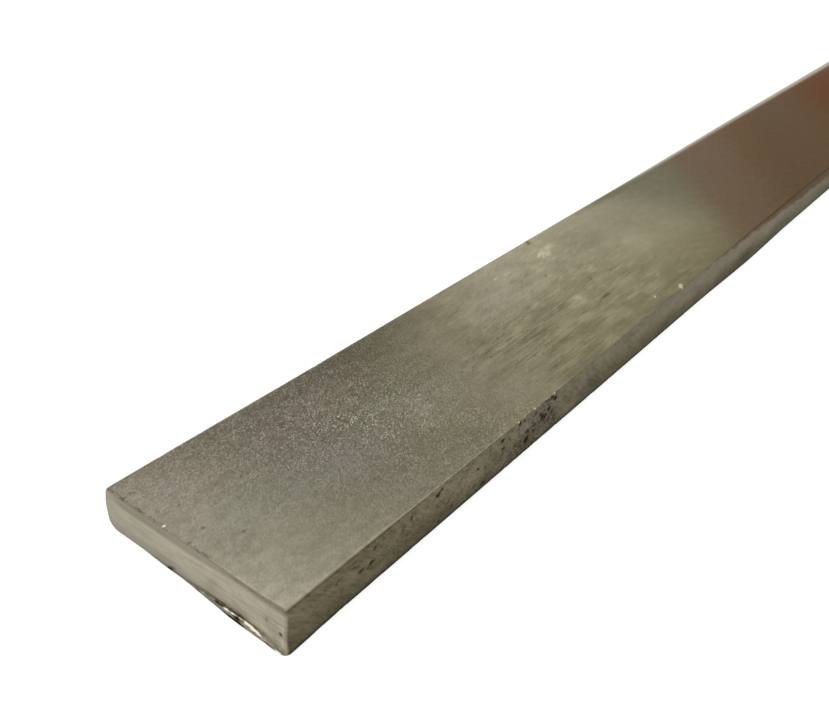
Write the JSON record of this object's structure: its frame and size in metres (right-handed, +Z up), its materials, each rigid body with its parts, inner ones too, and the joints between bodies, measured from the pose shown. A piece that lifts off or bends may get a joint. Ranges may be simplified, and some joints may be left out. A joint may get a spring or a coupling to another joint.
{
  "type": "metal flat bar",
  "caption": "Straight length of solid steel flat bar with a thin rectangular section, crisp long edges and square sawn ends.",
  "frame": {"origin": "middle of the bottom face, level with what the bar lies on", "axes": "+X along the bar, from the near sawn end to the far one; +Y across its width, towards the side with the rounder corners; +Z up through its thickness"},
  "size_m": [0.5, 0.03, 0.006],
  "materials": {
    "steel": "rolled and pickled bare steel: dull warm grey with a fine sparkling grain, drawn-out rolling marks, small scale pits on the narrow faces and bright saw lines on the ends"
  },
  "bodies": {
    "root": {"flat_bar": "steel"}
  },
  "joints": []
}
